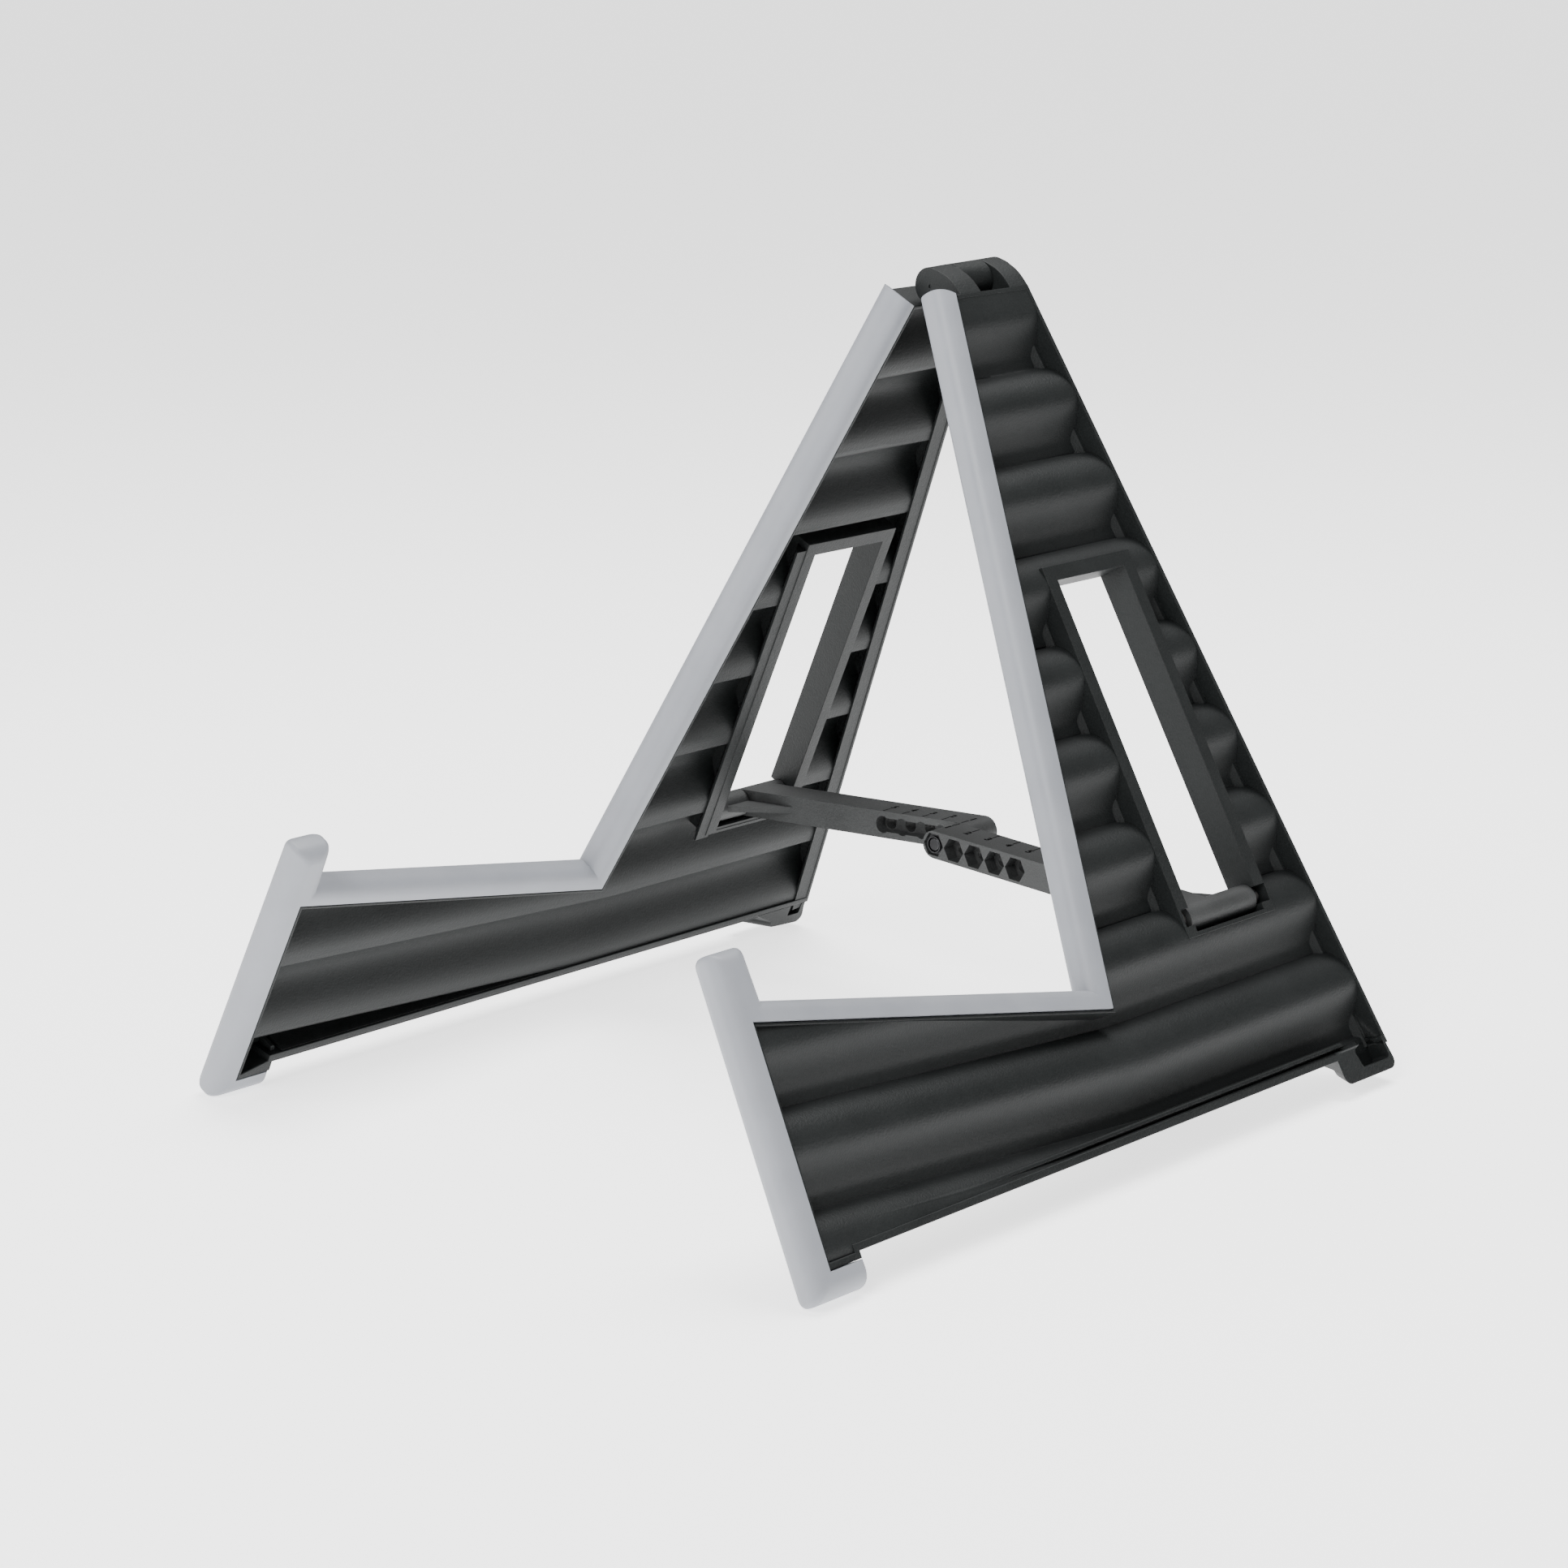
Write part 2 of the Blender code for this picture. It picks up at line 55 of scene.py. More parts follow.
JOINTS = {joint["name"]: joint for joint in frame["record"]["behaviour"]["joints"]}
HINGE_HEIGHT = JOINTS["panel_fold"]["pos_m"][2] / MM
OPEN_HALF_ANGLE = math.radians(27)
SINE, COSINE = math.sin(OPEN_HALF_ANGLE), math.cos(OPEN_HALF_ANGLE)

# Panel frame, in mm
BACK_BOTTOM_U = 40.6
MIDDLE_U = BACK_BOTTOM_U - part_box("right_panel")[1][1] / MM
INNER, OUTER = 0.4, 12.9
TOP = 8.5
SOLE = (HINGE_HEIGHT + INNER * SINE) / COSINE
LIP_INNER, LIP_OUTER = SOLE - 12.6, SOLE - 9.6
UPRIGHT_TOP = (-43.4, TOP)
REST_BACK = (-94.4, SOLE - 53.9)
REST_FRONT = (-253.4, SOLE - 87.3)
FRONT_FOOT = (-257.6, SOLE - 7.3)
HEEL_U = FRONT_FOOT[0] + 15
BACK_TOP = (-3.6, TOP)
BACK_BOTTOM = (BACK_BOTTOM_U, SOLE - 5.1)
FOOT_FRONT = 9.4
BACK_WALL, FRONT_WALL = 1.6, 1.1

WAVE_PITCH = 33.4
FIRST_CREST = 17.6
WAVE_TOP, WAVE_BOTTOM = 12.6, 3.6
CREST_RADIUS = 13.2
WAVE_SLOPE = 0.068
WEB = 2.2

WINDOW = [(-44.3, 117.3), (-38.7, SOLE - 69.8), (-0.2, SOLE - 69.8), (-7.2, 117.3)]
FRAME_WALL = 5.6
SURROUND = [FRAME_WALL, 1.6, FRAME_WALL, FRAME_WALL]

EDGING_INNER, EDGING_OUTER = 0.3, 13.7
EDGING_DEPTH = 8
EDGING_GAP = 0.3
EDGING_CROWN = 5.7
HOOK_INSIDE = REST_FRONT[0] + 8.4
HOOK_TOP = REST_FRONT[1] - 24.6
SOFT_SOLE = 4.4 + (HINGE_HEIGHT - 4.4 + 4.7 * SINE) / COSINE

ARM_RISE = math.radians(3.2)
ARM_LENGTH = 117.1
ARM_HALF = 5.3
HOLES, HOLE_PITCH = 5, 10
PIVOT_V, PIVOT_W = SOLE - 69.8 - 5.7, 6.6
PIN_NOTCH = 3.2
PIN_ENDS = (-43.1, 4.2)

# Studio
CAMERA_PLACE = (0.89147, -0.92285, 0.43725)
CAMERA_TURN = (44.194, 14.136, -0.574)  # azimuth, downward tilt and roll, in degrees
CAMERA_LENS, CAMERA_SHIFT = 85.12, 0.0013
FLOOR_GLOW = 1.9
WORLD_GLOW = 0.22

# Hinge
KNUCKLES = {"front": (-40.6, -29.4), "middle": (-29.1, -13.6), "back": (-13.4, -3.6)}
HINGE_BORE = 1.5


# ---------------------------------------------------------------- working with objects

def deselect():
    bpy.ops.object.select_all(action="DESELECT")


def choose(obj, *more):
    deselect()
    for one in (obj, *more):
        one.select_set(True)
    bpy.context.view_layer.objects.active = obj


def settle(obj):
    """Puts the object's place, turn and scale into its mesh."""
    choose(obj)
    bpy.ops.object.transform_apply(location=True, rotation=True, scale=True)
    return obj


def apply(obj, kind, **settings):
    modifier = obj.modifiers.new(kind.lower(), kind)
    for key, value in settings.items():
        setattr(modifier, key, value)
    choose(obj)
    bpy.ops.object.modifier_apply(modifier=modifier.name)
    return obj


def combine(base, other, operation="UNION"):
    apply(base, "BOOLEAN", object=other, operation=operation, solver="EXACT")
    bpy.data.objects.remove(other)
    return base


def mark(obj, kind, wanted):
    """Selects the vertices, edges or faces that wanted() says yes to, and opens edit mode."""
    mesh = obj.data
    for items in (mesh.vertices, mesh.edges, mesh.polygons):
        items.foreach_set("select", [False] * len(items))
    if kind == "VERT":
        for vert in mesh.vertices:
            vert.select = bool(wanted(vert.co / MM))
    elif kind == "EDGE":
        for edge in mesh.edges:
            a, b = (mesh.vertices[index].co / MM for index in edge.vertices)
            edge.select = bool(wanted(a, b))
    else:
        for face in mesh.polygons:
            face.select = bool(wanted(face.center / MM, face.normal))
    choose(obj)
    bpy.ops.object.mode_set(mode="EDIT")
    bpy.ops.mesh.select_mode(type=kind)


def leave():
    bpy.ops.object.mode_set(mode="OBJECT")


def bevel_edges(obj, wanted, width, segments=2, sharp=28, clamp=True):
    """Rounds the sharp edges that wanted() says yes to."""
    choose(obj)
    bpy.ops.object.mode_set(mode="EDIT")
    bpy.ops.mesh.select_mode(type="EDGE")
    bpy.ops.mesh.select_all(action="DESELECT")
    bpy.ops.mesh.edges_select_sharp(sharpness=math.radians(sharp))
    leave()
    picked = {edge.index for edge in obj.data.edges if edge.select}
    mesh = obj.data
    for items in (mesh.vertices, mesh.edges, mesh.polygons):
        items.foreach_set("select", [False] * len(items))
    for index in picked:
        edge = mesh.edges[index]
        a, b = (mesh.vertices[end].co / MM for end in edge.vertices)
        edge.select = bool(wanted(a, b))
    choose(obj)
    bpy.ops.object.mode_set(mode="EDIT")
    bpy.ops.mesh.bevel(
        offset=width * MM, offset_type="OFFSET", segments=segments, profile=0.5,
        affect="EDGES", clamp_overlap=clamp,
    )
    leave()
    return obj


def flatten(obj, degrees=1):
    """Joins the triangles of each flat face."""
    mark(obj, "FACE", lambda centre, normal: True)
    bpy.ops.mesh.dissolve_limited(angle_limit=math.radians(degrees))
    leave()
    return obj


def weld(obj, distance=0.002):
    mark(obj, "VERT", lambda co: True)
    bpy.ops.mesh.remove_doubles(threshold=distance * MM)
    bpy.ops.mesh.normals_make_consistent(inside=False)
    leave()
    return obj


def smooth(obj, degrees=35):
    choose(obj)
    bpy.ops.object.shade_smooth_by_angle(angle=math.radians(degrees), keep_sharp_edges=False)
    return obj


# Turns a drawing of (u, -v) so that its thickness runs along w.
ALONG_W = Matrix(((0, 0, 1, 0), (1, 0, 0, 0), (0, 1, 0, 0), (0, 0, 0, 1)))
# Turns a drawing of (w, -v) so that its thickness runs along -u.
ALONG_U = Matrix.Rotation(math.radians(90), 4, "X")


def drawn(name, outlines, low, high, turn):
    """A flat drawing with optional holes, thick from low to high, turned into place."""
    curve = bpy.data.curves.new(name, "CURVE")
    curve.dimensions = "2D"
    curve.fill_mode = "BOTH"
    curve.extrude = (high - low) / 2 * MM
    for points in outlines:
        spline = curve.splines.new("POLY")
        spline.points.add(len(points) - 1)
        spline.use_cyclic_u = True
        for point, (across, up) in zip(spline.points, points):
            point.co = (across * MM, up * MM, 0, 1)
    obj = bpy.data.objects.new(name, curve)
    bpy.context.scene.collection.objects.link(obj)
    choose(obj)
    bpy.ops.object.convert(target="MESH")
    obj = bpy.context.object
    obj.matrix_world = turn @ Matrix.Translation((0, 0, (low + high) / 2 * MM))
    settle(obj)
    weld(obj)
    return flatten(obj) if len(outlines) == 1 else obj


def slab(name, outlines, inner, outer):
    """A flat piece drawn in (u, v), thick from w inner to w outer."""
    flipped = [[(u, -v) for u, v in points] for points in outlines]
    return drawn(name, flipped, inner, outer, ALONG_W)


def bar(name, profile, start, end):
    """A straight bar along u with a profile drawn in (w, up)."""
    return drawn(name, [profile], -end, -start, ALONG_U)


def cylinder(name, radius, start, end, at=(0, 0), sides=48):
    bpy.ops.mesh.primitive_cylinder_add(
        vertices=sides, radius=radius * MM, depth=(end - start) * MM,
        location=(at[0] * MM, (start + end) / 2 * MM, at[1] * MM),
        rotation=(math.radians(90), 0, 0),
    )
    obj = bpy.context.object
    obj.name = name
    return settle(obj)


def block(name, low, high):
    """A box between two corners given as (w, u, -v)."""
    size = [(b - a) * MM for a, b in zip(low, high)]
    middle = [(a + b) / 2 * MM for a, b in zip(low, high)]
    bpy.ops.mesh.primitive_cube_add(size=1, location=middle, scale=size)
    obj = bpy.context.object
    obj.name = name
    return settle(obj)


def offset_line(a, b, distance):
    along = (Vector(b) - Vector(a)).normalized()
    side = Vector((-along.y, along.x)) * distance
    return Vector(a) + side, Vector(b) + side


def crossing(first, second):
    p, r = first[0], first[1] - first[0]
    q, s = second[0], second[1] - second[0]
    share = ((q - p).x * s.y - (q - p).y * s.x) / (r.x * s.y - r.y * s.x)
    return tuple(p + r * share)


def level_line(v):
    return Vector((0, v)), Vector((1, v))


def inset(points, distances):
    """A closed outline moved inwards, each side by its own distance."""
    if not isinstance(distances, (list, tuple)):
        distances = [distances] * len(points)
    area = sum(a[0] * b[1] - b[0] * a[1] for a, b in zip(points, points[1:] + points[:1]))
    way = 1 if area > 0 else -1
    sides = [
        offset_line(a, b, way * distance)
        for a, b, distance in zip(points, points[1:] + points[:1], distances)
    ]
    return [crossing(before, after) for before, after in zip(sides[-1:] + sides[:-1], sides)]


def rounded(points, radii, steps=5):
    """An outline with each corner rounded by its radius."""
    result = []
    for index, (corner, radius) in enumerate(zip(points, radii)):
        here = Vector(corner)
        before = (Vector(points[index - 1]) - here).normalized()
        after = (Vector(points[(index + 1) % len(points)]) - here).normalized()
        if not radius:
            result.append(tuple(here))
            continue
        half = before.angle(after) / 2
        centre = here + (before + after).normalized() * radius / math.sin(half)
        first = here + before * radius / math.tan(half) - centre
        last = here + after * radius / math.tan(half) - centre
        for step in range(steps + 1):
            share = step / steps
            swept = first.lerp(last, share).normalized() * radius
            result.append(tuple(centre + swept))
    return result


# ---------------------------------------------------------------- finishes

class Flow:
    """A number that travels through a finish; adding or multiplying it makes maths nodes."""

    def __init__(self, finish, socket):
        self.finish = finish
        self.socket = socket

    def __add__(self, other):
        return self.finish.maths("ADD", self, other)

    __radd__ = __add__

    def __mul__(self, other):
        return self.finish.maths("MULTIPLY", self, other)

    __rmul__ = __mul__


class Finish:
    """A surface finish: one shader and the nodes that vary it."""

    def __init__(self, name, slot, **fixed):
        self.slot = slot
        self.material = bpy.data.materials.new(name)
        self.material.use_nodes = True
        self.tree = self.material.node_tree
        self.shader = self.tree.nodes["Principled BSDF"]
        for socket, value in fixed.items():
            self.shader.inputs[socket.replace("_", " ")].default_value = value

    def node(self, kind, settings=(), **inputs):
        made = self.tree.nodes.new("ShaderNode" + kind)
        for key, value in dict(settings).items():
            if key == "stops":
                for index, (place, colour) in enumerate(value):
                    stop = made.color_ramp.elements[index] if index < 2 else (
                        made.color_ramp.elements.new(place))
                    stop.position = place
                    stop.color = (*colour, 1)
            else:
                setattr(made, key, value)
        for key, value in inputs.items():
            socket = made.inputs[int(key[1:]) if key[1:].isdigit() else key.replace("_", " ")]
            if isinstance(value, Flow):
                self.tree.links.new(value.socket, socket)
            elif isinstance(value, bpy.types.NodeSocket):
                self.tree.links.new(value, socket)
            else:
                socket.default_value = value
        return made

    def maths(self, operation, a, b):
        return Flow(self, self.node("Math", {"operation": operation}, i0=a, i1=b).outputs[0])

    def place(self, stretch=(1, 1, 1)):
        coordinates = self.node("TexCoord").outputs["Object"]
        return self.node("Mapping", Vector=coordinates, Scale=stretch).outputs[0]

    def noise(self, scale, detail=3, roughness=0.5, stretch=(1, 1, 1)):
        made = self.node("TexNoise", Vector=self.place(stretch), Scale=scale, Detail=detail,
                         Roughness=roughness)
        return Flow(self, made.outputs["Fac"])

    def between(self, low, high, share):
        """A colour that runs from low to high as share goes from 0 to 1."""
        made = self.node("ValToRGB", {"stops": [(0, low), (1, high)]}, Fac=share)
        return made.outputs["Color"]

    def sharpened(self, flow, low, high):
        made = self.node("MapRange", Value=flow, i1=low, i2=high)
        return Flow(self, made.outputs["Result"])

    def feed(self, socket, value):
        self.tree.links.new(getattr(value, "socket", value), self.shader.inputs[socket])

    def bump(self, height, strength, distance):
        made = self.node("Bump", Strength=strength, Distance=distance, Height=height)
        self.feed("Normal", made.outputs["Normal"])


def moulded_nylon(name, slot, low, high, gloss, grain, shine):
    """Glass-fibre nylon: satin black, a fine grain and cloudy, slightly duller patches."""
    finish = Finish(name, slot, Specular_IOR_Level=shine)
    clouds = finish.sharpened(finish.noise(38, 4, 0.6), 0.3, 0.7)
    flecks = finish.noise(1700, 2)
    finish.feed("Base Color", finish.between(low, high, clouds * 0.35 + flecks * 0.65))
    finish.feed("Roughness", gloss + clouds * 0.07 + flecks * 0.14)
    finish.bump(flecks * 0.6 + finish.noise(900, 3) * 0.4, grain, 0.0003)
    return finish


def soft_rubber():
    """Grey moulded rubber: even colour, a fine haze of dust and faint dimples."""
    finish = Finish("grey_cushion_rubber", "grey_rubber", Specular_IOR_Level=0.42)
    haze = finish.sharpened(finish.noise(55, 4, 0.55), 0.3, 0.7)
    grain = finish.noise(1900, 2)
    colour = finish.between((0.235, 0.245, 0.268), (0.27, 0.28, 0.305), haze * 0.7 + grain * 0.3)
    finish.feed("Base Color", colour)
    finish.feed("Roughness", 0.4 + haze * 0.08 + grain * 0.05)
    finish.bump(grain * 0.5 + finish.noise(420, 2) * 0.5, 0.25, 0.0002)
    return finish


def bright_steel(name, slot, colour, rough, stretch):
    """Plated or turned steel: fine lines, a little tarnish."""
    finish = Finish(name, slot, Metallic=1.0)
    lines = finish.noise(700, 3, 0.6, stretch)
    tarnish = finish.sharpened(finish.noise(260, 3), 0.4, 0.75)
    worn = tuple(part * 0.72 for part in colour)
    finish.feed("Base Color", finish.between(colour, worn, tarnish * 0.8 + lines * 0.2))
    finish.feed("Roughness", rough + lines * 0.12 + tarnish * 0.1)
    finish.bump(lines, 0.2, 0.0001)
    return finish


def engraved_paint():
    finish = Finish("engraved_marks", "arm_nylon", Specular_IOR_Level=0.0)
    specks = finish.noise(1500, 2)
    finish.feed("Base Color", finish.between((0.003, 0.003, 0.003), (0.01, 0.01, 0.01), specks))
    finish.feed("Roughness", 0.8 + specks * 0.2)
    return finish


NYLON = moulded_nylon("panel_nylon", "black_nylon", (0.006, 0.007, 0.007),
                      (0.015, 0.017, 0.017), 0.4, 0.7, 0.22)
ARM_NYLON = moulded_nylon("arm_nylon", "arm_nylon", (0.018, 0.019, 0.019),
                          (0.05, 0.052, 0.052), 0.46, 0.7, 0.4)
RUBBER = soft_rubber()
# A darker copy of the zinc plate: painted shade for the lock nut and the bolt's threaded end,
# which sit deep in the arm's hex pocket.
POCKET_SHADED_ZINC = bright_steel("zinc_plate_painted_pocket_shade", "zinc_steel", (0.05, 0.05, 0.052), 0.3, (1, 8, 1))
ZINC = bright_steel("zinc_plate", "zinc_steel", (0.2, 0.2, 0.205), 0.28, (1, 8, 1))
PIN_STEEL = bright_steel("turned_steel", "bare_steel", (0.6, 0.59, 0.58), 0.26, (1, 6, 1))
ENGRAVING = engraved_paint()


def finished(obj, finish, degrees):
    """Gives a piece its finish and smooths it up to an angle."""
    obj.data.materials.clear()
    obj.data.materials.append(finish.material)
    smooth(obj, degrees)
    return apply(obj, "WEIGHTED_NORMAL", keep_sharp=True, weight=80)


# ---------------------------------------------------------------- side panels

PANEL_OUTLINE = [
    UPRIGHT_TOP,
    REST_BACK,
    REST_FRONT,
    FRONT_FOOT,
    (HEEL_U, FRONT_FOOT[1]),
    (HEEL_U, LIP_OUTER),
    crossing((Vector(BACK_TOP), Vector(BACK_BOTTOM)), level_line(LIP_OUTER)),
    BACK_TOP,
]
WALLS = [FRONT_WALL, FRONT_WALL, FRONT_WALL, 2.2, 2.2, 2.6, BACK_WALL, 1.6]


def wave_depth(along):
    """w of the web's middle at a distance along v from a crest."""
    along = (along + 12.8) % WAVE_PITCH - 12.8
    if along < 0:
        return WAVE_TOP - CREST_RADIUS + math.sqrt(CREST_RADIUS ** 2 - along ** 2)
    middle, swing = (WAVE_TOP + WAVE_BOTTOM) / 2, (WAVE_TOP - WAVE_BOTTOM) / 2
    return middle + swing * math.cos(2 * math.pi * min(along, WAVE_PITCH / 2) / WAVE_PITCH)


def waved_web():
    """The waved web: rows pushed in and out, rising towards the front under the rest."""
    low, high = TOP - 4, SOLE + 4
    rows = 300
    columns = [-264, -180, -128, -112, -104, -97, -90, -84, -76, -64, -30, 10, 48]
    bpy.ops.mesh.primitive_grid_add(
        x_subdivisions=rows, y_subdivisions=len(columns) - 1, size=1,
        rotation=(0, math.radians(90), 0),
    )
    web = bpy.context.object
    web.name = "web"
    settle(web)
    for vert in web.data.vertices:
        column = columns[round((vert.co.y + 0.5) * (len(columns) - 1))]
        level = low + (high - low) * (0.5 - vert.co.z)
        rise = 1.9 * max(0, 1 - (level - TOP) / 105) * (column + 42) / 40 if column > -90 else 0
        along = level - FIRST_CREST + rise + 1.5 * min(1, level / 150) - 1.5
        w = (wave_depth(along) if along > 0 else WAVE_TOP) - WEB / 2
        v = level - WAVE_SLOPE * max(0, -88 - column)
        vert.co = (w * MM, column * MM, -v * MM)
    apply(web, "SOLIDIFY", thickness=WEB * MM, offset=0)
    return weld(web)


def knuckle(end, radius_front, radius_back):
    """One hinge knuckle with its flank down to the panel's outer face."""
    start, stop = KNUCKLES[end]
    low = (OUTER - 0.15, -TOP + 0.2)
    lean = math.radians(42)
    arc = [lean + (math.radians(274) - lean) * step / 30 for step in range(31)]
    profile = [(radius_front * math.cos(a), radius_front * math.sin(a)) for a in arc]
    profile += [(1.2, -TOP - 1.2), (low[0], -TOP - 1.2), low]
    first = Vector(profile[0])
    across = Vector(low) - first
    outwards = Vector((-across.y, across.x)).normalized()
    profile += [
        tuple(Vector(low).lerp(first, share) + outwards * 1.4 * math.sin(math.pi * share))
        for share in (0.1, 0.2, 0.3, 0.4, 0.5, 0.6, 0.7, 0.8, 0.9)
    ]
    piece = bar("knuckle", profile, start, stop)
    mark(piece, "VERT", lambda co: co.y > stop - 0.01 and co.z > -radius_front - 0.3 and co.x < 8)
    grow = radius_back / radius_front
    bpy.ops.transform.resize(value=(grow, 1, grow), center_override=(0, 0, 0))
    leave()
    return bevel_edges(piece, lambda a, b: abs(a.y - b.y) < 0.01 and a.z > -9 and b.z > -9, 0.3)


def along_line(name, a, b, profile):
    """A bar from a to b in the panel, with a profile drawn in (distance inwards, w)."""
    start, end = Vector(a), Vector(b)
    run = (end - start).normalized()
    turn = Matrix((
        (0, 1, 0, 0),
        (run.y, 0, run.x, start.x * MM),
        (run.x, 0, -run.y, -start.y * MM),
        (0, 0, 0, 1),
    ))
    return drawn(name, [profile], 0, (end - start).length, turn)


def back_slope():
    """Inside the back wall: a thicker lower wall, then a slope down to the troughs."""
    profile = [(0.8, INNER + 0.3), (0.8, 5.7), (3, 5.7), (7.6, 1.6), (7.6, INNER + 0.3)]
    start = Vector(PANEL_OUTLINE[6]).lerp(Vector(BACK_TOP), 0.004)
    return along_line("slope", start, Vector(BACK_TOP).lerp(start, 0.01), profile)


def window_slope():
    """In front of the window's surround: a slope down to the troughs."""
    corners = inset(WINDOW, -FRAME_WALL)
    profile = [(-2, INNER + 0.3), (-2, 5.5), (0.5, 5.5), (4.8, 1.6), (4.8, INNER + 0.3)]
    start = Vector(corners[1]).lerp(Vector(corners[0]), 0.02)
    return along_line("slope", start, Vector(corners[0]).lerp(start, 0.02), profile)


def back_foot():
    """The foot under the back of a panel, with a small pocket in its inner side."""
    front, back = FOOT_FRONT, BACK_BOTTOM_U + 0.3
    root, tread = LIP_OUTER - 3, SOLE - 0.1
    corners = [(front, root), (front, tread), (back, tread), (back - 2.6, root)]
    outline = rounded(corners, [0, 3.5, 3.2, 0])
    foot = slab("foot", [outline], INNER, OUTER)
    mark(foot, "VERT", lambda co: co.x < 1 and co.y < front + 6 and -co.z > LIP_OUTER + 2)
    bpy.ops.transform.translate(value=(0, 11 * MM, 3 * MM))
    leave()
    mark(foot, "VERT", lambda co: co.x < 1 and co.y > front + 20 and -co.z > LIP_OUTER + 2)
    bpy.ops.transform.translate(value=(0, 0, 2 * MM))
    leave()
    bevel_edges(foot, lambda a, b: a.z < -LIP_OUTER - 1 or b.z < -LIP_OUTER - 1, 0.5)
    inner = [(30, SOLE - 13), (30, SOLE - 7.4), (36.6, SOLE - 7.4), (36.6, SOLE - 13)]
    return combine(foot, slab("hollow", [rounded(inner, [0.6] * 4, 2)], -5, 3.2), "DIFFERENCE")


def foot_hollow():
    """The pocket in the outer side of the back foot, open upwards to the back rim."""
    outline = [(16.4, LIP_OUTER - 1.6), (18.6, SOLE - 4.2), (37.9, SOLE - 4.2), (36.4, SOLE - 16)]
    hollow = slab("hollow", [rounded(outline, [1.2, 1.2, 1.2, 0.5], 3)], 5, 20)
    mark(hollow, "VERT", lambda co: co.x < 6 and co.y < 24)
    bpy.ops.transform.translate(value=(0, 7 * MM, 0))
    leave()
    return hollow


def bottom_lip():
    """The bead and groove inside the panel's lower edge."""
    bead_low, bead_high = LIP_OUTER - 5.8, LIP_OUTER - 3.9
    back = 17.5
    outline = [
        (HEEL_U + 4, bead_low), (HEEL_U + 4, bead_high), (back, bead_high), (back - 0.9, bead_low),
    ]
    bead = slab("bead", [outline], INNER + 1, 11.2)
    bevel_edges(bead, lambda a, b: a.x > 11 and b.x > 11, 0.7, 3)
    floor = slab("groove", [[(HEEL_U + 1, bead_high - 1), (HEEL_U + 1, LIP_OUTER - 1),
                             (back, LIP_OUTER - 1), (back, bead_high - 1)]], INNER + 1, 8.8)
    return combine(bead, floor)


def front_lug():
    """The small rib beside the heel of the front foot."""
    rib = slab("lug", [[(HEEL_U - 0.6, SOLE - 17.2), (HEEL_U + 1.2, SOLE - 17),
                        (HEEL_U + 3, SOLE - 11.6), (HEEL_U + 0.8, SOLE - 11.6)]], 3, 11.2)
    return bevel_edges(rib, lambda a, b: a.x > 10 or b.x > 10, 0.6)


def panel(knuckles):
    ring = slab("ring", [PANEL_OUTLINE, inset(PANEL_OUTLINE, WALLS)], INNER, OUTER)
    mark(ring, "VERT", lambda co: co.x < 1 and LIP_OUTER - 3 < -co.z < LIP_OUTER + 1
         and co.y > HEEL_U - 3)
    bpy.ops.transform.translate(value=(0, 0, (LIP_OUTER - LIP_INNER) * MM))
    leave()
    bevel_edges(ring, lambda a, b: abs(a.x - b.x) < 0.01, 0.3)
    keep = slab("keep", [inset(PANEL_OUTLINE, [wall / 2 for wall in WALLS]),
                         inset(WINDOW, [-wall / 2 for wall in SURROUND])], -40, 50)
    web = combine(waved_web(), keep, "INTERSECT")
    foot = back_foot()
    for piece in (ring, foot, web):
        combine(piece, foot_hollow(), "DIFFERENCE")
    body = combine(ring, back_slope())
    combine(body, window_slope())
    around = inset(WINDOW, [-wall for wall in SURROUND])
    surround = slab("surround", [around, WINDOW], INNER, OUTER)
    bevel_edges(surround, lambda a, b: abs(a.x - b.x) < 0.01, 0.25)
    combine(body, surround)
    sill_v = WINDOW[1][1]
    combine(body, slab("sill", [[(-38.9, sill_v - 1.3), (-38.9, sill_v + 1), (-0.3, sill_v + 1),
                                 (-0.3, sill_v - 1.3)]], INNER + 0.2, 2))
    combine(body, bottom_lip())
    combine(body, foot)
    combine(body, web)
    combine(body, front_lug())
    for start, end in knuckles:
        combine(body, knuckle(start, *end))
    notch = block("notch", (PIVOT_W - PIN_NOTCH, PIN_ENDS[0] - 0.3, -PIVOT_V - PIN_NOTCH),
                  (30, PIN_ENDS[1] + 0.3, -PIVOT_V + PIN_NOTCH))
    combine(body, notch, "DIFFERENCE")
    combine(body, cylinder("bore", HINGE_BORE, KNUCKLES["front"][0] + 0.5, 10), "DIFFERENCE")
    dimple = cylinder("dimple", 0.7, -50, KNUCKLES["front"][0] + 0.4, (0.6, -0.4), 16)
    return combine(body, dimple, "DIFFERENCE")


# ---------------------------------------------------------------- placing

def place(obj, side, name, body, node):
    """Mirrors the left-hand piece, swings it open, gives it its body and hides its CAD node."""
    if side < 0:
        obj.scale = (-1, 1, 1)
        settle(obj)
        weld(obj)
    obj.rotation_euler = (0, -side * OPEN_HALF_ANGLE, 0)
    obj.location = (0, -MIDDLE_U * MM, HINGE_HEIGHT * MM)
    settle(obj)
    obj.name = name
    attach(obj, body)
    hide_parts(node)
    return obj


for side, label, knuckles in (
    (1, "right", [("front", (6.6, 6.9)), ("back", (7.2, 7.45))]),
    (-1, "left", [("middle", (6.9, 7.2))]),
):
    shell = panel(knuckles)
    place(shell, side, "moulded_" + label + "_panel", label + "_frame", label + "_panel")
    finished(shell, NYLON, 35)


# ---------------------------------------------------------------- soft edging

